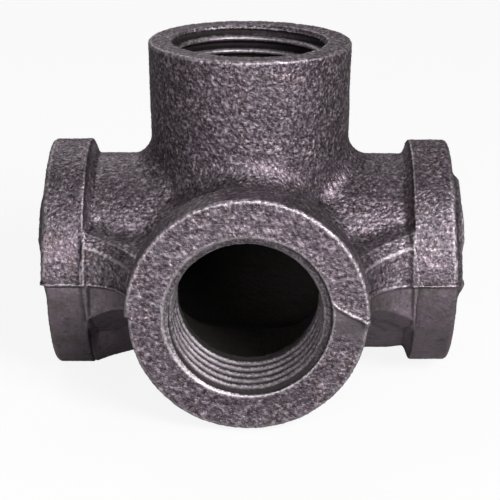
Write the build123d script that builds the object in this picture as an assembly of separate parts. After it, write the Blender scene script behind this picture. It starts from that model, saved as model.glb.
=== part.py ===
from build123d import *
from build123d.topology import SkipClean
import math
import os

# Four-way malleable-iron pipe fitting: three banded ports in the horizontal parting
# plane and one plain outlet on top. One casting, tapped afterwards.
# Millimetres, +Z up, origin in the middle of the footprint, on the surface the three
# bands stand on. It is drawn about the crossing of the axes and moved there last.
# Ports: left -X, right +X, front -Y, top +Z. The back is closed.

# ---- ports and barrels ----
end_side = 28.0          # centre to the end face of a side port
end_top = 30.2           # centre to the rim of the top outlet
neck_r = 13.75           # outside radius of the barrels behind the bands
centre_r = 14.2          # slight swelling of the run where the barrels meet
swell_half = 11.0        # half length of that swelling
band_r = 15.7            # outside radius of the bands
band_w = 5.9             # full-diameter width of a band
band_slope = 1.2         # length of the slope from band down to barrel
band_corner = 0.55       # rounding of a band's outer edges
band_shoulder = 0.5      # rounding where the slope starts
band_root = 1.3          # hollow fillet where the slope meets the barrel
top_r_rim = 13.85        # outside radius of the top outlet at its rim
top_r_axis = 13.2        # the same carried down to the run's axis: pattern draft
top_corner = 0.5         # rounding of the top rim
core_fillet = 3.4        # cast fillets between barrels and outlet
join_margin = 3          # the joins to fillet lie at least this far behind the slopes

band_start = end_side - band_w
neck_end = band_start - band_slope

# ---- corner webs between neighbouring side ports, on the parting plane ----
web_end_half = 5.0       # half thickness where a web meets the bands
web_mid_half = 3.3       # half thickness half way along
web_blank_extra = 2.5    # extra half thickness of the blank before it is hollowed
web_join_r = 15.2        # how far out a web meets the bands, just under their surface
web_overlap = 0.4        # how far a web runs into the bands
web_bury = 3.0           # how far a web's inner corner lies inside the barrels
web_edge = 0.4           # rounding of a web's free edges
scoop_span = (5, 45)     # start and end of the hollowing cylinder along the diagonal

# ---- parting-line witness ----
seam_out = 0.22          # how far it stands out
seam_half = 0.14         # half its thickness
back_seam_y = (5, 21)    # the box that keeps the back part of it, along Y

# ---- waterway ----
cavity_r = 10.75         # cored waterway behind the threads
chamber_r = 10.95        # the run's waterway where the branches open into it
chamber_half = 12.0
cut_overlap = 0.2

# ---- parallel internal pipe thread, nominal 1/2, 14 threads per inch, 55 degrees ----
pitch = 1.8143
thread_minor_r = 9.3155
thread_major_r = 10.4775
flank_half_angle = 27.5
thread_depth = 0.640     # in pitches
triangle_height = 0.960  # height of the sharp thread triangle, in pitches
mouth_r = 10.9           # countersink at the end face
mouth_len = 1.0
runout_len = 0.9         # cone from waterway up to the first crest
sleeve_len = 12.0        # waterway to end face
crest_sectors = 8        # crest wall is split into this many faces a turn
groove_pieces = 3        # groove is cut in this many pieces a turn
groove_reach_in = 0.2    # how far the groove's section reaches inside the crest
groove_lead_in = 1.7     # the first groove piece starts this far before the sleeve
groove_lead_out = 1.6    # the last one starts less than this far beyond it
groove_turn = 11         # angle of the first groove piece, degrees

side_start = end_side - sleeve_len
top_start = end_top - sleeve_len

# a port is drawn along +Z and then turned to its own direction
to_left = Rot(0, -90, 0)
to_right = Rot(0, 90, 0)
to_front = Rot(90, 0, 0)
side_turns = (to_left, to_right, to_front)

# outline of a side port from its neck outwards, as (r, z)
port_outline = [
    (neck_r, neck_end),
    (band_r, band_start),
    (band_r, end_side),
    (0, end_side),
]


def cyl(radius, start, end):
    """Cylinder on the Z axis from z = start to z = end."""
    return Pos(0, 0, (start + end) / 2) * Cylinder(radius, end - start)


def profile(points):
    """Face in the XZ plane from (r, z) points."""
    return make_face(Polyline(*[(r, 0, z) for r, z in points], close=True))


def round_band(face, side=1):
    """Round the band's corners on the profile's +Z (1) or -Z (-1) end."""
    for (r, z), radius in zip(port_outline, (band_root, band_shoulder, band_corner)):
        corner = min(
            face.vertices(), key=lambda v: math.hypot(v.X - r, v.Z - side * z)
        )
        face = fillet(corner, radius).faces()[0]
    return face


def arc_radius(half_chord, sagitta):
    return (half_chord**2 + sagitta**2) / (2 * sagitta)


def make_barrel():
    face = profile([(0, 0), (neck_r, 0), *port_outline])
    return revolve(round_band(face), Axis.Z, 360)


def make_run():
    """Left and right barrels in one piece, with a slow swell in the middle made of
    two opposite arcs a side."""
    half = swell_half / 2
    rise = (centre_r - neck_r) / 2
    swell_r = arc_radius(half, rise)
    half_turn = math.asin(half / swell_r) / 2
    dip = swell_r * (1 - math.cos(half_turn))
    along = swell_r * math.sin(half_turn)
    swell_end = [
        (centre_r - rise, half),
        (neck_r + dip, swell_half - along),
        (neck_r, swell_half),
    ]

    def at(point, side):
        return (point[0], 0, side * point[1])

    edges = [ThreePointArc(at(swell_end[0], 1), (centre_r, 0, 0), at(swell_end[0], -1))]
    for side in (1, -1):
        edges.append(ThreePointArc(*(at(p, side) for p in swell_end)))
        for start, end in zip([swell_end[-1], *port_outline], port_outline):
            edges.append(Line(at(start, side), at(end, side)))
    edges.append(Line((0, 0, -end_side), (0, 0, end_side)))
    face = make_face(Wire(edges))
    for side in (1, -1):
        face = round_band(face, side)
    return to_right * revolve(face, Axis.Z, 360)


def make_core(run):
    """The solid outside: run, front barrel, top outlet and their cast fillets."""
    outlet = Pos(0, 0, end_top / 2) * Cone(top_r_axis, top_r_rim, end_top)
    core = run + to_front * make_barrel() + outlet
    joins = [
        e
        for e in core.edges()
        if e.geom_type in (GeomType.ELLIPSE, GeomType.BSPLINE)
        and max(abs((e @ 0.5).X), abs((e @ 0.5).Y)) < neck_end - join_margin
        and (e @ 0.5).Z < end_top - 1
    ]
    core = fillet(joins, core_fillet)
    rim = [
        e
        for e in core.edges()
        if e.geom_type == GeomType.CIRCLE and abs(e.center().Z - end_top) < 0.01
    ]
    return fillet(rim, top_corner)


def make_web():
    """Web in the +X +Y corner: hollow free edge, thinner half way along."""
    inner = neck_r - web_bury
    outer = band_start + web_overlap
    half_chord = (outer - web_join_r) * math.sqrt(0.5)
    mid = outer - half_chord
    plan = make_face(
        Wire(
            [
                Line((inner, inner), (outer, inner)),
                Line((outer, inner), (outer, web_join_r)),
                ThreePointArc((outer, web_join_r), (mid, mid), (web_join_r, outer)),
                Line((web_join_r, outer), (inner, outer)),
                Line((inner, outer), (inner, inner)),
            ]
        )
    )
    web = extrude(plan, amount=web_end_half + web_blank_extra, both=True)
    hollow_r = arc_radius(half_chord, web_end_half - web_mid_half)
    scoop = Rot(0, 0, 45) * Rot(0, 90, 0) * cyl(hollow_r, *scoop_span)
    for side in (1, -1):
        web = web - Pos(0, 0, side * (web_mid_half + hollow_r)) * scoop
    free_edges = [
        e
        for e in web.edges()
        if e.geom_type == GeomType.BSPLINE
        and math.hypot((e @ 0.5).X - mid, (e @ 0.5).Y - mid) < 0.5
    ]
    return fillet(free_edges, web_edge)


def add_seam(body, run):
    """Thin ledge round the outline at z = 0. Round the ports and webs it follows the
    outline; along the back it is the run's own outline moved out."""
    ledge_x = end_side - band_corner
    outline = section(body, section_by=Plane.XY)
    ledge = extrude(
        offset(outline, seam_out, kind=Kind.ARC), amount=seam_half, both=True
    )
    ledge = ledge & (Pos(0, -ledge_x / 2, 0) * Box(2 * ledge_x, ledge_x, 2))
    y_start, y_end = back_seam_y
    back_ledge = (Pos(0, seam_out, 0) * run) & (
        Pos(0, (y_start + y_end) / 2, 0)
        * Box(2 * ledge_x, y_end - y_start, 2 * seam_half)
    )
    return body + ledge + back_ledge


def cut_waterway(body):
    """Cored passages, and a seat for a threaded sleeve in each port."""
    side_reach = side_start + cut_overlap
    body = body - to_right * cyl(cavity_r, -side_reach, side_reach)
    body = body - to_right * cyl(chamber_r, -chamber_half, chamber_half)
    body = body - to_front * cyl(cavity_r, 0, side_reach)
    body = body - cyl(cavity_r, 0, top_start + cut_overlap)
    for turn in side_turns:
        body = body - turn * cyl(mouth_r, side_start, end_side + 1)
    return body - cyl(mouth_r, top_start, end_top + 1)


def sleeve_sector(k):
    face = profile(
        [
            (thread_minor_r, runout_len),
            (cavity_r, 0),
            (mouth_r, 0),
            (mouth_r, sleeve_len),
            (thread_minor_r, sleeve_len - mouth_len),
        ]
    )
    sector_angle = 360 / crest_sectors
    return Rot(0, 0, sector_angle * k) * revolve(face, Axis.Z, sector_angle)


def make_groove():
    """One piece of the thread groove, a part of a turn long."""
    # crest and root share equally what the depth leaves of the triangle
    root_half = pitch * (1 - thread_depth / triangle_height) / 4
    depth = thread_major_r - thread_minor_r
    flank_slope = math.tan(math.radians(flank_half_angle))
    inner_half = root_half + (depth + groove_reach_in) * flank_slope
    across = [
        (-groove_reach_in, -inner_half),
        (depth, -root_half),
        (depth, root_half),
        (-groove_reach_in, inner_half),
    ]
    path = Helix(pitch, pitch / groove_pieces, thread_minor_r)
    start = Plane(origin=path @ 0, x_dir=(1, 0, 0), z_dir=path % 0)
    return sweep(
        start * make_face(Polyline(*across, close=True)), path=path, is_frenet=True
    )


def make_sleeve():
    """Tapped ring. Its crest wall is made of equal sectors so that the wall keeps
    short, tidy faces after tapping."""
    sleeve = sleeve_sector(0)
    for k in range(1, crest_sectors):
        sleeve = sleeve + sleeve_sector(k)
    groove = make_groove()
    z, k = -groove_lead_in, 0
    while z < sleeve_len + groove_lead_out:
        angle = 360 / groove_pieces * k + groove_turn
        sleeve = sleeve - Pos(0, 0, z) * Rot(0, 0, angle) * groove
        z += pitch / groove_pieces
        k += 1
    return sleeve


run = make_run()
body = make_core(run)
web = make_web()
for quarter in (2, 3):  # the two front corners
    body = body + Rot(0, 0, 90 * quarter) * web
body = add_seam(body, run)
body = cut_waterway(body)

# cleaning would merge the crest sectors
with SkipClean():
    sleeve = make_sleeve()
    side_sleeve = Pos(0, 0, side_start) * sleeve
    for turn in side_turns:
        body = body + turn * side_sleeve
    body = body + Pos(0, 0, top_start) * sleeve

# stood on its bands, with the middle of the footprint at the origin
back_reach = band_r + seam_out
solid = Pos(0, (end_side - back_reach) / 2, band_r) * body.solids()[0]
solid.label = "cross_body"
os.makedirs("parts", exist_ok=True)
export_step(solid, "parts/cross_body.step")
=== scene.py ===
"""Cast iron pipe cross with four tapped ports: left, right, front and top.

The shape is one signed distance field in mm (below 0 in the metal), with the origin
where the port axes meet: +X right, -Y front, +Z up. It is meshed, roughened with an
as-cast skin and moved onto the CAD body. Finish, floor, light and camera follow.
"""
import math

import bpy
import numpy as np
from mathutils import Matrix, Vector


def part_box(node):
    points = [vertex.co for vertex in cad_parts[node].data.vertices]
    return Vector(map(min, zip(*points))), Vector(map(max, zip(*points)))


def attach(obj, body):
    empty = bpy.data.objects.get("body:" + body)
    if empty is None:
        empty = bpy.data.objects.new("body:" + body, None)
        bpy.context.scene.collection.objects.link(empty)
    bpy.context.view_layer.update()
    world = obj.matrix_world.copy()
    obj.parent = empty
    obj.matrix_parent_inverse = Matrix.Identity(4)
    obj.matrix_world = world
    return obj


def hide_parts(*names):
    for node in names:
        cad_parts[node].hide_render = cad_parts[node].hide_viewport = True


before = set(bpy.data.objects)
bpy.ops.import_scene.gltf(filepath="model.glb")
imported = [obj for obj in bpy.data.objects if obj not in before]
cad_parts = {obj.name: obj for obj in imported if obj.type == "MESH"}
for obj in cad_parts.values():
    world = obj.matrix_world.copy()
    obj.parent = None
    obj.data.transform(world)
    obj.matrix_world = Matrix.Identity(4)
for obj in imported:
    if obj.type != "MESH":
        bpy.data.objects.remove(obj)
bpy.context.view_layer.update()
box_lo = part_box("cross_body")[0]

# ---------------------------------------------------------------- sizes, mm
MM = 0.001
PORT_END, TOP_END = 28.0, 30.2               # axis crossing to the port faces
NECK_R, SWELL_R, SWELL_HALF = 13.75, 14.2, 11.0
BAND_R, BAND_W, BAND_SLOPE = 15.7, 5.85, 0.60
TOP_RIM_R, TOP_BASE_R = 13.88, 13.25
CORE_FILLET = 3.5
CAVITY_R, CHAMBER_R, CHAMBER_HALF = 10.75, 10.95, 12.0
PITCH, CREST_R, ROOT_R = 1.8143, 9.3155, 10.4775
THREAD_DEPTH = ROOT_R - CREST_R
MOUTH_R = 10.75
TAPER, TAPER_END = 0.05, 9.3                 # widening per mm, and where it starts
SLEEVE = 12.0                                # threaded length of a port
SIDE_CHAMFER, TOP_CHAMFER = 1.6, 0.62        # countersink, radius lost per mm
SHIFT_X, SHIFT_Y, SHIFT_FRONT = 0.30, 0.34, 0.12  # offsets of the lower mould half
# the bands stand on the floor, and the front face is the foremost part
CROSS = np.array([0.0, box_lo[1] / MM + PORT_END, box_lo[2] / MM + BAND_R])

# lumps and blow holes: x, y, z, radius, height (below 0 sinks in)
BLOBS = (
    (26.0, 1.0, -15.4, 0.95, 0.34), (16.0, -12.75, 4.9, 0.42, -0.42),
    (12.4, -8.5, 10.7, 0.5, 0.16), (-24.9, -14.9, 3.2, 0.5, 0.12),
    (-4.6, -12.7, 17.0, 0.55, -0.12), (7.4, 12.0, 5.6, 0.7, 0.20),
    (-12.0, 13.0, -4.1, 0.5, -0.25), (-19.5, 9.0, 10.1, 0.6, 0.16),
)

# ---------------------------------------------------------------- noise
rng = np.random.default_rng(20)
PERM = rng.permutation(256).astype(np.int32)
GRAD = rng.normal(size=(256, 3))
GRAD = (GRAD / np.linalg.norm(GRAD, axis=1)[:, None]).astype(np.float32)


def noise(x, y, z, size, seed):
    """Smooth gradient noise, about -1 to 1, one lump per size mm."""
    off = 17.3 * seed + 100.0
    x, y, z = x / size + off, y / size + 2 * off, z / size + 3 * off
    ix, iy, iz = (np.floor(v).astype(np.int32) for v in (x, y, z))
    fx, fy, fz = x - ix, y - iy, z - iz
    ease_x, ease_y, ease_z = (f * f * f * (f * (f * 6 - 15) + 10) for f in (fx, fy, fz))
    total = 0
    for dx in (0, 1):
        weight_x = ease_x if dx else 1 - ease_x
        hash_x = PERM[(ix + dx) & 255]
        for dy in (0, 1):
            weight_xy = weight_x * (ease_y if dy else 1 - ease_y)
            hash_xy = PERM[(hash_x + iy + dy) & 255]
            for dz in (0, 1):
                weight = weight_xy * (ease_z if dz else 1 - ease_z)
                g = GRAD[PERM[(hash_xy + iz + dz) & 255]]
                dot = g[..., 0] * (fx - dx) + g[..., 1] * (fy - dy) + g[..., 2] * (fz - dz)
                total = total + weight * dot
    return total * 1.6


# ---------------------------------------------------------------- field tools
def union_round(a, b, r):
    return np.maximum(r, np.minimum(a, b)) - np.hypot(np.maximum(r - a, 0), np.maximum(r - b, 0))


def inter_round(a, b, r):
    return np.minimum(-r, np.maximum(a, b)) + np.hypot(np.maximum(r + a, 0), np.maximum(r + b, 0))


def soft_max(a, b, width):
    near = np.maximum(width - np.abs(a - b), 0) / width
    return np.maximum(a, b) + near * near * width * 0.25


def rise(v, start, width):
    """Smooth 0 to 1 as v goes from start to start + width."""
    t = np.clip((v - start) / width, 0, 1)
    return t * t * (3 - 2 * t)


def fall(v, end, width):
    """Smooth 1 to 0 as v goes from end - width to end."""
    return rise(-v, -end, width)


def bell(v, centre, width):
    return np.exp(-(((v - centre) / width) ** 2))


def radius(a, b):
    return np.sqrt(a * a + b * b) + 1e-6


def fillet_for(dot):
    """Fillet share: a rolling ball fills less where two walls meet at a shallow angle."""
    dot = np.clip(dot, 0, 0.999)
    return np.clip((np.sqrt(2 / (1 + dot)) - 1) / 0.41421, 0.02, 1)


# ---------------------------------------------------------------- barrel profiles
# outside radius at each distance along a side port, and the cosine of its slope
ALONG_STEP = 0.02
ALONG = np.arange(0, 34, ALONG_STEP)


def blur(values, width):
    n = int(width / ALONG_STEP) | 1
    padded = np.pad(values, n // 2, mode="edge")
    return np.convolve(padded, np.ones(n) / n, mode="valid")


def slope_cosine(radii):
    return 1 / np.sqrt(1 + np.gradient(radii, ALONG) ** 2)


band_start = PORT_END - BAND_W
to_band = NECK_R + (ALONG - band_start + BAND_SLOPE) * (BAND_R - NECK_R) / BAND_SLOPE
to_band = soft_max(np.full_like(ALONG, NECK_R), to_band, 1.7)
FRONT_RADII = blur(np.minimum(to_band, BAND_R), 0.30)
swell = 0.5 + 0.5 * np.cos(np.pi * np.clip(ALONG / SWELL_HALF, 0, 1))
RUN_RADII = FRONT_RADII + (SWELL_R - NECK_R) * swell
FRONT_COSINE, RUN_COSINE = slope_cosine(FRONT_RADII), slope_cosine(RUN_RADII)


# ---------------------------------------------------------------- outer skin
def lip(r):
    """Slight lip of an end face at its mouth."""
    return 0.22 * fall(r, 12.6, 1.6)


def right_face(y, z, r):
    """Drafted from the parting plane, with a gate stub above it, ground back."""
    angle = np.degrees(np.arctan2(z, -y))
    stub = rise(angle, -9, 8) * fall(angle, 64, 3) * fall(r, 15.3, 1.2)
    high = rise(angle, 16, 9) * (1 - 0.55 * rise(angle, 34, 14))
    face = 28.05 - 0.19 * fall(z, 0.5, 3.4) - 0.034 * np.abs(z) + lip(r)
    return face + stub * (0.68 + 0.36 * high)


def left_face(y, z, r):
    """Drafted from the parting plane, with a raised patch at its upper front."""
    angle = np.degrees(np.arctan2(z, -y))
    face = 27.86 - 0.32 * fall(z, 0.4, 2.6) - 0.018 * np.abs(z) + lip(r)
    return face + 0.52 * rise(angle, 12, 12) * fall(angle, 58, 20) * fall(r, 15.2, 1.4)


def run_barrel(x, xs, y, z, r, low):
    """Left and right ports in one; xs is x after the mould shift."""
    along = np.abs(xs)
    # the lower half is fuller on the left and slimmer on the right
    slim = low * np.where(x > 0, 0.30, -0.24) * rise(np.abs(x), 19, 3)
    wall = np.interp(along, ALONG, RUN_RADII)
    # the left barrel's underside flares towards its band
    under = np.where(x < 0, 1.0, 0.0) * rise(-z, 8.0, 4.5) * fall(along, 22.1, 0.3)
    wall = wall + under * np.maximum(BAND_R - 0.26 * np.clip(22.1 - along, 0, 10) - wall, 0)
    run = (r - wall + slim) * np.interp(along, ALONG, RUN_COSINE)
    face = np.where(x > 0, right_face(y, z, r), left_face(y, z, r))
    return inter_round(run, along - face, 0.62)


def front_barrel(y, z, r, low):
    along = -y
    wall = np.interp(along, ALONG, FRONT_RADII)
    front = (r - wall + 0.33 * low) * np.interp(along, ALONG, FRONT_COSINE)
    face = PORT_END - 0.010 * np.abs(z) + 0.6 * lip(r)
    return np.maximum(inter_round(front, along - face, 0.42), -along)


def top_outlet(x, z, r):
    wall = TOP_BASE_R + (TOP_RIM_R - TOP_BASE_R) * np.clip(z, 0, 40) / TOP_END
    outlet = inter_round((r - wall) * 0.9997, z - TOP_END + 0.006 * x, 0.42)
    return np.maximum(outlet, -z)


def corner_webs(x, xs, y, z):
    """Webs in the corners between the front port and each side port."""
    side, ahead = np.abs(xs), -y
    plan = np.where(x > 0, 7.2, 6.95) - np.hypot(side - 22.5, ahead - 22.5)
    t = np.clip((side - ahead) * math.sqrt(0.5), -5.6, 5.6)
    half = np.where(z > 0, 3.9 + 0.154 * t + 0.022 * t * t, 2.6 + 0.25 * t + 0.045 * t * t)
    # the top and bottom slope up to the barrels
    half = half + np.where(z > 0, 0.95 * np.clip(-plan, 0, 1.5), 0.50 * np.clip(-plan, 0, 4))
    region = np.maximum.reduce((plan, side - 22.25, ahead - 22.25, 8 - side, 8 - ahead))
    return inter_round(region + 0.04 * np.abs(z), np.abs(z) - half, 0.16)


def parting_fin(x, y, z):
    height = (0.25 + 0.15 * noise(x, y, z, 2.3, 3)) * bell(z, 0.12, 0.19)
    return np.maximum(height, 0) * fall(np.abs(x), 28.3, 0.5) * rise(y, -22.6, 1.2)


def witness_curve(x):
    """Share of the way along the front face's gate witness, and its height z."""
    share = np.clip((x - 10.3) / 5.0, 0, 1)
    return share, 3.5 - 3.92 * share**0.52


def front_witness(x, y, z):
    """Curled fin, the pad below it and a bump at the rim."""
    share, curve = witness_curve(x)
    above = z - curve
    on_face = rise(x, 9.8, 0.5) * fall(x, 15.9, 0.4) * rise(-y, 25.5, 1.0)
    ridge = 0.22 * bell(above, 0, 0.22) * on_face * rise(share, 0, 0.2)
    pad = 0.10 * rise(above + 5.0, 3.6 * share, 2.4) * fall(above, 0, 0.3) * on_face
    rim = 0.45 * bell(x, 15.4, 0.55) * bell(z, -0.55, 0.5) * rise(-y, 26.3, 0.6)
    return ridge + pad + rim


def outside(x, y, z):
    """The casting's skin before it is bored and tapped."""
    low = fall(z, 0.06, 0.16)          # 1 in the lower mould half
    xs, ys = x - SHIFT_X * low, y - SHIFT_Y * low
    r_run = radius(ys, z)
    r_front = radius(x - SHIFT_FRONT * low, z)
    r_top = radius(x, y)
    run = run_barrel(x, xs, y, z, r_run, low)
    front = front_barrel(y, z, r_front, low)
    outlet = top_outlet(x, z, r_top)

    # cosines of the angles between the barrels' walls
    run_front = z * z / (r_run * r_front)
    run_top = y * y / (r_run * r_top)
    front_top = x * x / (r_front * r_top)
    fillet = CORE_FILLET + 0.9 * bell(z, 0, 6.0)
    body = union_round(run, front, fillet * fillet_for(run_front))
    on_run = 1 / (1 + np.exp(np.clip(-(front - run) / 0.8, -30, 30)))
    top_cosine = on_run * run_top + (1 - on_run) * front_top
    body = union_round(body, outlet, CORE_FILLET * fillet_for(top_cosine))
    body = union_round(body, corner_webs(x, xs, y, z), 0.9)
    body = body - parting_fin(x, y, z) - front_witness(x, y, z)
    for bx, by, bz, size, height in BLOBS:
        q = ((x - bx) ** 2 + (y - by) ** 2 + (z - bz) ** 2) / (size * size)
        body = body - height * np.exp(-np.minimum(q, 30))
    return body


# ---------------------------------------------------------------- bores and threads
def bore(along, across, up, end, turn, chamfer):
    """Void of one port: countersink, thread, run-out and waterway.

    Returns its distance, the depth from the mouth, the radius and the groove depth share.
    """
    r = np.sqrt(across * across + up * up)
    depth = end - along
    phase = depth / PITCH + np.arctan2(up, across) / (2 * math.pi) + turn
    zigzag = np.abs(2 * (phase - np.floor(phase)) - 1)
    # V groove with crest and root rounded off
    groove = soft_max(1.742 * zigzag - 0.29, 0.0, 0.30)
    groove = -soft_max(-groove, -THREAD_DEPTH, 0.30)
    thread = CREST_R + TAPER * np.clip(TAPER_END - depth, 0, TAPER_END) + groove
    thread = np.where(depth > SLEEVE + 0.2, 0.0, thread)
    lead_in = MOUTH_R - chamfer * depth
    run_out = CREST_R + (depth - (SLEEVE - 0.9)) * 1.6
    wall = soft_max(thread, lead_in, 0.12)
    wall = np.maximum(wall, np.minimum(run_out, CAVITY_R))
    # the steep thread flanks need the radial gap scaled down to be a distance
    in_thread = rise(depth, -0.3, 0.3) * fall(depth, SLEEVE + 0.4, 0.4)
    distance = (r - wall) * (1 - 0.48 * in_thread)
    grooved = np.where(thread > lead_in - 0.15, groove / THREAD_DEPTH, 0.0)
    return distance, depth, r, grooved * rise(depth, 0.4, 0.5)


def ports(x, y, z):
    """Arguments of bore for the right, left, front and top ports."""
    return (
        (x, y, z, PORT_END, 0.10, SIDE_CHAMFER),
        (-x, -y, z, PORT_END, 0.55, SIDE_CHAMFER),
        (-y, x, z, PORT_END, 0.92, SIDE_CHAMFER),
        (z, x, y, TOP_END, 0.25, TOP_CHAMFER),
    )


def metal(x, y, z):
    void = np.maximum(np.sqrt(y * y + z * z) - CHAMBER_R, np.abs(x) - CHAMBER_HALF)
    for port in ports(x, y, z):
        void = np.minimum(void, np.maximum(bore(*port)[0], -port[0]))
    return np.maximum(outside(x, y, z), -void)


# ---------------------------------------------------------------- meshing
GRID_LO, GRID_HI = (-29.4, -29.2, -16.4), (29.9, 16.6, 30.6)
CELL = 0.2
BLOCK = 4                                    # cells along a coarse block
CORNERS = list(np.ndindex(2, 2, 2))


def sample(field, x, y, z, chunk=400_000):
    out = np.empty(len(x), np.float32)
    for i in range(0, len(x), chunk):
        part = slice(i, i + chunk)
        out[part] = field(x[part], y[part], z[part])
    return out


def corner_view(grid, corner):
    """That corner's node of every cell."""
    return grid[tuple(slice(c, c + size - 1) for c, size in zip(corner, grid.shape))]


def refine(grid):
    return grid.repeat(BLOCK, 0).repeat(BLOCK, 1).repeat(BLOCK, 2)


def sample_grid(lo, hi, h):
    """Field at the grid nodes: exact near the surface, only its sign elsewhere."""
    blocks = [int(math.ceil((b - a) / h / BLOCK)) for a, b in zip(lo, hi)]
    centres = [lo[i] + (np.arange(blocks[i]) + 0.5) * h * BLOCK for i in range(3)]
    X, Y, Z = np.meshgrid(*centres, indexing="ij")
    coarse = sample(metal, X.ravel(), Y.ravel(), Z.ravel()).reshape(blocks)
    # half a block's diagonal, with some slack
    near = refine(np.abs(coarse) < h * BLOCK * 0.87 * 1.05 + 0.30)
    field = np.ones([n + 1 for n in near.shape], np.float32)
    field[:-1, :-1, :-1] = refine(np.sign(coarse))
    nodes = np.zeros(field.shape, bool)
    for corner in CORNERS:
        view = corner_view(nodes, corner)
        view |= near
    index = np.flatnonzero(nodes)
    i, j, k = np.unravel_index(index, field.shape)
    field.ravel()[index] = sample(metal, lo[0] + i * h, lo[1] + j * h, lo[2] + k * h)
    return field


def cell_points(field, cells):
    """Mean of the surface crossings on each cell's edges, in cells."""
    value = np.stack([corner_view(field, corner)[cells] for corner in CORNERS], 1)
    total = np.zeros((len(value), 3))
    count = np.zeros(len(value))
    for p in range(8):
        for q in range(p + 1, 8):
            start, end = np.array(CORNERS[p]), np.array(CORNERS[q])
            if np.abs(start - end).sum() != 1:
                continue
            crossed = (value[:, p] < 0) != (value[:, q] < 0)
            t = value[:, p] / np.where(crossed, value[:, p] - value[:, q], 1)
            total += np.where(crossed[:, None], start + (end - start) * t[:, None], 0)
            count += crossed
    return total / count[:, None] + np.stack(cells, 1)


def edge_quads(inside, point_of):
    """A quad round each grid edge that crosses the surface, turned outwards."""
    quads = []
    for axis in range(3):
        side_a, side_b = (axis + 1) % 3, (axis + 2) % 3
        window = [slice(1, -1)] * 3
        window[axis] = slice(0, -1)
        first = inside[tuple(window)]
        window[axis] = slice(1, None)
        edges = np.stack(np.nonzero(first != inside[tuple(window)]), 1)
        inside_first = first[tuple(edges.T)]
        edges[:, [side_a, side_b]] += 1
        ring = []
        for back_a, back_b in ((1, 1), (0, 1), (0, 0), (1, 0)):
            cell = edges.copy()
            cell[:, side_a] -= back_a
            cell[:, side_b] -= back_b
            ring.append(point_of[tuple(cell.T)])
        ring = np.stack(ring, 1)
        ring[~inside_first] = ring[~inside_first][:, ::-1]
        quads.append(ring)
    return np.concatenate(quads)


def surface(lo, hi, h):
    """Quad mesh of the zero surface: one point in each crossed cell."""
    field = sample_grid(lo, hi, h)
    inside = field < 0
    n = [size - 1 for size in field.shape]
    some, every = np.zeros(n, bool), np.ones(n, bool)
    for corner in CORNERS:
        part = corner_view(inside, corner)
        some |= part
        every &= part
    cells = np.nonzero(some & ~every)
    point_of = np.full(n, -1, np.int32)
    point_of[cells] = np.arange(len(cells[0]))
    return cell_points(field, cells) * h + np.array(lo), edge_quads(inside, point_of)


def gradient(points, reach):
    x, y, z = points.T
    slope = np.empty_like(points)
    for i, (dx, dy, dz) in enumerate(np.eye(3) * reach):
        ahead = sample(metal, x + dx, y + dy, z + dz)
        slope[:, i] = ahead - sample(metal, x - dx, y - dy, z - dz)
    return slope / (2 * reach)


def pull_on(points, rounds, h):
    """Newton steps onto the surface, each at most 0.35 of a cell."""
    for _ in range(rounds):
        f = sample(metal, *points.T)
        g = gradient(points, reach=0.03)
        move = -(f / np.maximum((g * g).sum(1), 0.05))[:, None] * g
        length = np.linalg.norm(move, axis=1)[:, None]
        points = points + move * np.minimum(1, 0.35 * h / np.maximum(length, 1e-9))
    return points


points, quads = surface(GRID_LO, GRID_HI, CELL)
points = pull_on(points, 2, CELL)
normal = gradient(points, reach=0.05)
normal /= np.maximum(np.linalg.norm(normal, axis=1), 1e-9)[:, None]
x, y, z = points.T


# ---------------------------------------------------------------- as-cast skin
def surface_bend(x, y, z, reach=0.14):
    """Above 0 on edges, below 0 in creases."""
    bend = -6 * sample(metal, x, y, z)
    for dx, dy, dz in np.concatenate([np.eye(3), -np.eye(3)]) * reach:
        bend += sample(metal, x + dx, y + dy, z + dz)
    bend /= reach**2
    return bend


def machining(x, y, z):
    """Masks: cut metal, bottoms of the thread grooves, and countersinks."""
    cut, root, sunk = np.zeros((3, len(x)))
    for k, port in enumerate(ports(x, y, z)):
        distance, depth, r, grooved = bore(*port)
        wall = (np.abs(distance) < 0.12) & (port[0] > 0) & (r < 11.2)
        here = wall * fall(depth, SLEEVE - 1.9, 0.3)   # the tap's last pitches are left out of the cut mask and take the cavity's near-black painted shade
        if k == 3:                    # the top rim's countersink is as rough as the rim
            here = here * rise(depth, 1.1, 0.5)
        cut = np.maximum(cut, here)
        root = np.where(here > 0.05, np.clip(grooved, 0, 1), root)
        sunk = np.where(here > 0.05, fall(depth, 1.0, 0.3) * rise(depth, -0.1, 0.25), sunk)
    return cut, root, sunk


bend = surface_bend(x, y, z)
# edge mask: partly real wear, partly painted highlight on rims and thread crests
worn = np.clip((bend - 0.45) / 1.8, 0, 1)
# crease mask: where the surface bends inwards; it darkens the colour as painted shade in creases
# and thread roots
crease = np.clip((-bend - 0.35) / 1.6, 0, 1)
cut, root, sunk = machining(x, y, z)
core = np.where(sample(outside, x, y, z) < -0.6, 1.0 - cut, 0.0)   # cored waterway
# the gate witness was dressed on a wheel
on_front = rise(-y, 27.0, 0.5)
curve = witness_curve(x)[1]
dressed = on_front * rise(x, 9.8, 0.8) * fall(z, curve, 0.5) * rise(z - curve, -4.6, 2.6)
calm = fall(z, 0.05, 0.3) * (1 - on_front)       # the lower half: smoother skin, and painted lighter as fill light

# relief along the normal
grain = (1.0 - 0.55 * calm) * (1 - 0.70 * dressed)
grain = np.where(core > 0.5, 1.3, grain) * (1 - 0.88 * cut)
lumps = noise(x, y, z, 6.5, 1) * 0.050 + noise(x, y, z, 2.6, 2) * 0.035
pebble, sand, fine = (noise(x, y, z, size, k) for size, k in ((0.95, 4), (0.39, 5), (0.31, 6)))
height = 0.026 * pebble + 0.068 * sand + 0.044 * fine
relief = (lumps * (1 - 0.8 * cut) + height) * grain
points = points + normal * relief[:, None]
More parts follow.
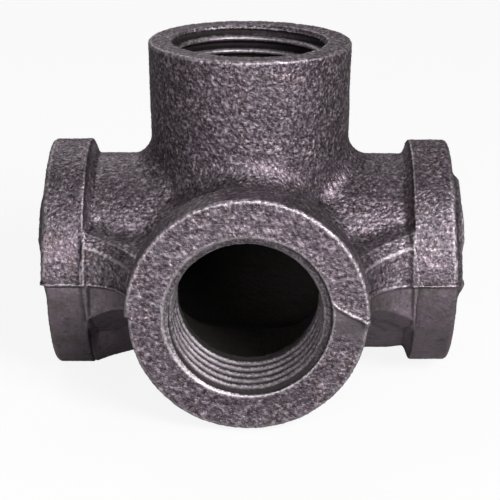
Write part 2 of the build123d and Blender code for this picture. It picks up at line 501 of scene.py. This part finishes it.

# tone follows the grain: pits darker as painted shade, peaks paler as painted highlight
tone = 0.5 + (0.66 * sand + 0.20 * pebble + 0.42 * fine) * (1 - 0.64 * calm)
# the front face a little lighter, the barrels' flanks lighter as painted light where the front
# port shades them, and the outlet darker as painted shade, with stronger grain contrast
up = rise(z, 12.0, 6)
flank_painted_light = fall(np.abs(x), 21.4, 0.5) * rise(np.abs(x), 9, 3) * fall(z, 10, 3)
flank_painted_light = flank_painted_light * rise(z, 0, 0.2) * rise(y, -23.5, 1.5)
tone = tone + 0.025 * on_front + up * (0.40 * (tone - 0.5) - 0.085) + 0.09 * flank_painted_light
tone = np.clip(tone, 0, 1)


def build_casting(points, quads, masks):
    mesh = bpy.data.meshes.new("cross_casting")
    mesh.vertices.add(len(points))
    mesh.vertices.foreach_set("co", ((points + CROSS) * MM).astype(np.float32).ravel())
    mesh.loops.add(quads.size)
    mesh.loops.foreach_set("vertex_index", quads.ravel().astype(np.int32))
    mesh.polygons.add(len(quads))
    mesh.polygons.foreach_set("loop_start", np.arange(0, quads.size, 4, dtype=np.int32))
    mesh.update(calc_edges=True)
    mesh.polygons.foreach_set("use_smooth", np.ones(len(quads), bool))
    for name, values in masks.items():
        layer = mesh.attributes.new(name, "FLOAT", "POINT")
        layer.data.foreach_set("value", np.asarray(values, np.float32))
    mesh.validate()
    casting = bpy.data.objects.new("cross_casting", mesh)
    bpy.context.scene.collection.objects.link(casting)
    return casting


casting = build_casting(points, quads, {
    "cut": cut, "core": core, "tone": tone, "dressed": dressed, "root": root,
    "calm": calm, "worn": worn, "sunk": sunk, "crease": crease,
})


# ---------------------------------------------------------------- finish
def add_node(tree, kind, inputs, **settings):
    """New node; inputs maps a socket to its value or to the output that feeds it."""
    node = tree.nodes.new(kind)
    for name, value in settings.items():
        setattr(node, name, value)
    for socket, value in inputs.items():
        if isinstance(value, bpy.types.NodeSocket):
            tree.links.new(value, node.inputs[socket])
        else:
            node.inputs[socket].default_value = value
    return node


def ramp(tree, value, lo, hi, to_lo=0.0, to_hi=1.0):
    ends = {"From Min": lo, "From Max": hi, "To Min": to_lo, "To Max": to_hi}
    return add_node(tree, "ShaderNodeMapRange", {**ends, "Value": value}).outputs["Result"]


def make_iron():
    mat = bpy.data.materials.new("black_iron_cast")
    mat.use_nodes = True
    tree = mat.node_tree
    bsdf = tree.nodes["Principled BSDF"]

    def out(kind, inputs, **settings):
        return add_node(tree, kind, inputs, **settings).outputs[0]

    def calc(operation, a, b, clamp=False):
        return out("ShaderNodeMath", {0: a, 1: b}, operation=operation, use_clamp=clamp)

    def scaled(value, by):
        return calc("MULTIPLY", value, by)

    def more(start, value, by, clamp=False):
        """start + value * by"""
        return calc("ADD", start, scaled(value, by), clamp)

    def less(start, value, by, clamp=False):
        """start - value * by"""
        return calc("SUBTRACT", start, scaled(value, by), clamp)

    def between(value, lo, hi):
        return ramp(tree, value, lo, hi)

    def over(below, above, share):
        below, above = ((*c, 1.0) if isinstance(c, tuple) else c for c in (below, above))
        mix = add_node(tree, "ShaderNodeMix", {0: share, 6: below, 7: above}, data_type="RGBA")
        return mix.outputs[2]

    coord = tree.nodes.new("ShaderNodeTexCoord").outputs["Object"]
    in_mm = out("ShaderNodeVectorMath", {0: coord, "Scale": 1000.0}, operation="SCALE")

    def texture(size, detail, rough, seed):
        """Noise with lumps of size mm; the seed moves it elsewhere."""
        offset = (seed, seed * 1.7, seed * 2.3)
        place = out("ShaderNodeVectorMath", {0: in_mm, 1: offset}, operation="ADD")
        inputs = {"Scale": 1.0 / size, "Detail": detail, "Roughness": rough, "Vector": place}
        return add_node(tree, "ShaderNodeTexNoise", inputs).outputs["Fac"]

    masks = "cut core tone dressed root calm worn crease sunk".split()
    cut, core, tone, dressed, root, calm, worn, crease, sunk = (
        add_node(tree, "ShaderNodeAttribute", {}, attribute_name=name).outputs["Fac"]
        for name in masks
    )
    grit = texture(size=0.34, detail=2.0, rough=0.55, seed=3.0)
    specks = texture(size=0.20, detail=1.0, rough=0.5, seed=9.0)
    patches = texture(size=5.0, detail=3.0, rough=0.6, seed=21.0)
    stain = texture(size=2.2, detail=3.0, rough=0.55, seed=33.0)

    def keep(amount):
        """The same amount, less of it on the smooth lower half."""
        return scaled(less(1.0, calm, by=0.75), by=amount)

    # cast skin
    plum, grey, brown = (0.146, 0.112, 0.136), (0.131, 0.113, 0.129), (0.125, 0.090, 0.086)
    dark, pale = (0.046, 0.034, 0.041), (0.430, 0.364, 0.412)
    # dressed grey for the ground witness; near black for the cored waterway, as painted shade
    # deep inside the fitting
    dressed_grey, cavity_shade_black = (0.150, 0.128, 0.142), (0.005, 0.005, 0.003)
    # a pale colour for edges, partly wear and partly painted highlight; a near-black colour for
    # painted shade in creases
    rubbed_edge_highlight, crease_shade_colour = (0.480, 0.430, 0.465), (0.026, 0.020, 0.022)
    # lower half's mottle, lighter than the upper skin as painted fill light
    ash, mauve, drab = (0.185, 0.168, 0.170), (0.240, 0.186, 0.222), (0.142, 0.127, 0.122)
    # cut metal
    steel, tarnish, glint = (0.150, 0.129, 0.144), (0.094, 0.077, 0.083), (0.400, 0.356, 0.386)
    # near black for painted shadow in the thread grooves; grey for the countersinks
    groove_shadow_black, sunk_grey = (0.012, 0.009, 0.010), (0.082, 0.070, 0.078)

    base = over(plum, grey, between(patches, lo=0.38, hi=0.62))
    base = over(base, brown, between(stain, lo=0.56, hi=0.74))
    lower_fill_mottle = over(ash, mauve, between(patches, lo=0.34, hi=0.58))
    lower_fill_mottle = over(lower_fill_mottle, drab, between(stain, lo=0.50, hi=0.70))
    # painted fill light: the lower half painted lighter
    base = over(base, lower_fill_mottle, scaled(calm, by=0.8))
    # painted shade: the grain's low spots darker
    base = over(base, dark, scaled(between(tone, lo=0.46, hi=0.12), by=0.88))
    base = over(base, dark, scaled(between(grit, lo=0.44, hi=0.32), by=keep(0.60)))
    blaze = more(0.50, between(stain, lo=0.38, hi=0.62), by=0.45)
    # painted highlight: the grain's high spots paler
    base = over(base, pale, scaled(between(tone, lo=0.60, hi=0.95), by=blaze))
    # pale specks: painted glints on the grain, fewer on the lower half
    base = over(base, pale, scaled(between(specks, lo=0.60, hi=0.72), by=keep(0.60)))
    base = over(base, dressed_grey, dressed)
    bare = over(steel, tarnish, between(stain, lo=0.45, hi=0.70))
    bare = over(bare, glint, between(grit, lo=0.48, hi=0.60))
    # painted shadow: thread roots near black
    bare = over(bare, groove_shadow_black, scaled(between(root, lo=0.05, hi=0.44), by=0.94))
    bare = over(bare, sunk_grey, scaled(sunk, by=0.22))
    base = over(base, bare, cut)
    # painted shade: the cored waterway near black
    base = over(base, cavity_shade_black, scaled(core, by=0.94))
    # edges paler: partly rubbed wear, partly painted highlight
    rubbed_and_highlit = scaled(worn, by=more(0.25, tone, by=0.75))
    rubbed_and_highlit = scaled(rubbed_and_highlit, by=less(1.0, core, by=1.0))
    base = over(base, rubbed_edge_highlight, scaled(rubbed_and_highlit, by=keep(0.90)))
    # painted shade: creases and corners darkened
    base = over(base, crease_shade_colour, scaled(crease, by=0.60))

    rough = more(0.36, between(grit, lo=0.3, hi=0.7), by=0.20)
    rough = more(rough, between(patches, lo=0.35, hi=0.65), by=0.08)
    rough = more(rough, root, by=0.25, clamp=True)
    rough = more(rough, core, by=0.25, clamp=True)
    metallic = less(0.88, core, by=0.80, clamp=True)
    gloss = less(0.5, core, by=0.38, clamp=True)

    as_cast = less(1.0, cut, by=0.55)
    as_cast = scaled(as_cast, by=less(1.0, dressed, by=0.6))
    as_cast = scaled(as_cast, by=keep(1.0))
    bump = out("ShaderNodeBump", {
        "Height": more(scaled(grit, by=1.0), specks, by=0.45),
        "Distance": 0.00011,
        "Strength": scaled(as_cast, by=1.0),
    })
    for socket, source in (
        ("Base Color", base), ("Roughness", rough), ("Specular IOR Level", gloss),
        ("Metallic", metallic), ("Normal", bump),
    ):
        tree.links.new(source, bsdf.inputs[socket])
    return mat


iron = make_iron()
casting.data.materials.append(iron)
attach(casting, "root")
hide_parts("cross_body")
cad_body = bpy.data.objects.get("cross_body")
if cad_body is not None and cad_body.type == "MESH":
    for material_slot in cad_body.material_slots:
        material_slot.material = iron

# ---------------------------------------------------------------- floor
scene = bpy.context.scene
scene.view_settings.view_transform = "Standard"
scene.view_settings.look = "None"


def make_floor_material():
    """Near white to the camera, mid grey to every other ray."""
    mat = bpy.data.materials.new("pale_floor")
    mat.use_nodes = True
    tree = mat.node_tree
    pale = tree.nodes["Principled BSDF"]
    pale.inputs["Base Color"].default_value = (0.90, 0.90, 0.90, 1)
    pale.inputs["Roughness"].default_value = 0.9
    pale.inputs["Specular IOR Level"].default_value = 0.1
    grey = add_node(tree, "ShaderNodeBsdfDiffuse", {"Color": (0.36, 0.355, 0.36, 1)})
    to_camera = tree.nodes.new("ShaderNodeLightPath").outputs["Is Camera Ray"]
    mixer = add_node(tree, "ShaderNodeMixShader", {0: to_camera, 1: grey.outputs[0]})
    glow = add_node(tree, "ShaderNodeEmission", {"Color": (1.0, 1.0, 1.0, 1)})
    glow_share = 0.88
    seen = add_node(
        tree, "ShaderNodeMixShader", {0: glow_share, 1: pale.outputs[0], 2: glow.outputs[0]}
    )
    tree.links.new(seen.outputs[0], mixer.inputs[2])
    tree.links.new(mixer.outputs[0], tree.nodes["Material Output"].inputs["Surface"])
    return mat


FLOOR_HALF, FLOOR_GAP = 3.0, 0.00035         # metres
floor_mesh = bpy.data.meshes.new("floor")
floor_mesh.from_pydata(
    [(i * FLOOR_HALF, j * FLOOR_HALF, 0) for i, j in ((-1, -1), (1, -1), (1, 1), (-1, 1))],
    [], [(0, 1, 2, 3)],
)
floor = bpy.data.objects.new("floor", floor_mesh)
floor.location = (0, 0, box_lo[2] - FLOOR_GAP)
scene.collection.objects.link(floor)
floor_mesh.materials.append(make_floor_material())

# ---------------------------------------------------------------- light and camera
AIM = Vector(CROSS * MM)


def place(obj, azimuth, elevation, distance):
    """Aim obj at the crossing; azimuth in degrees runs from the front to the right."""
    a, e = math.radians(azimuth), math.radians(elevation)
    way = Vector((math.sin(a) * math.cos(e), -math.cos(a) * math.cos(e), math.sin(e)))
    obj.location = AIM + distance * way
    obj.rotation_euler = (AIM - obj.location).to_track_quat("-Z", "Y").to_euler()
    scene.collection.objects.link(obj)


def softbox(name, size, power, **where):
    light = bpy.data.lights.new(name, "AREA")
    light.shape = "RECTANGLE"
    light.size, light.size_y = size
    light.energy = power
    place(bpy.data.objects.new(name, light), **where)


softbox("key", size=(0.28, 0.26), power=4.9, azimuth=34, elevation=28, distance=0.62)
softbox("fill", size=(0.34, 0.26), power=2.7, azimuth=-16, elevation=15, distance=0.80)
softbox("back", size=(0.45, 0.35), power=1.5, azimuth=200, elevation=44, distance=0.80)


def make_world():
    """Near white to the camera; lights more from in front than from above or behind."""
    world = bpy.data.worlds.new("studio")
    scene.world = world
    world.use_nodes = True
    tree = world.node_tree
    way = tree.nodes.new("ShaderNodeTexCoord").outputs["Generated"]
    axes = add_node(tree, "ShaderNodeSeparateXYZ", {0: way}).outputs
    front = ramp(tree, axes[1], lo=1.0, hi=-1.0, to_lo=0.15, to_hi=0.28)
    level = ramp(tree, axes[2], lo=0.1, hi=1.0, to_lo=1.0, to_hi=0.06)
    strength = add_node(tree, "ShaderNodeMath", {0: front, 1: level}, operation="MULTIPLY")
    room = tree.nodes["Background"]
    room.inputs["Color"].default_value = (1, 0.99, 1, 1)
    tree.links.new(strength.outputs[0], room.inputs["Strength"])
    backdrop = add_node(tree, "ShaderNodeBackground", {"Color": (0.99, 0.99, 0.99, 1)})
    to_camera = tree.nodes.new("ShaderNodeLightPath").outputs["Is Camera Ray"]
    mixer = add_node(
        tree, "ShaderNodeMixShader", {0: to_camera, 1: room.outputs[0], 2: backdrop.outputs[0]}
    )
    tree.links.new(mixer.outputs[0], tree.nodes["World Output"].inputs["Surface"])


make_world()

camera_data = bpy.data.cameras.new("camera")
camera_data.sensor_width = 36
camera_data.lens = 132.6456
camera_data.clip_start = 0.005
camera_data.clip_end = 20
camera = bpy.data.objects.new("camera", camera_data)
place(camera, azimuth=0.75, elevation=18.17, distance=0.2611)
scene.camera = camera
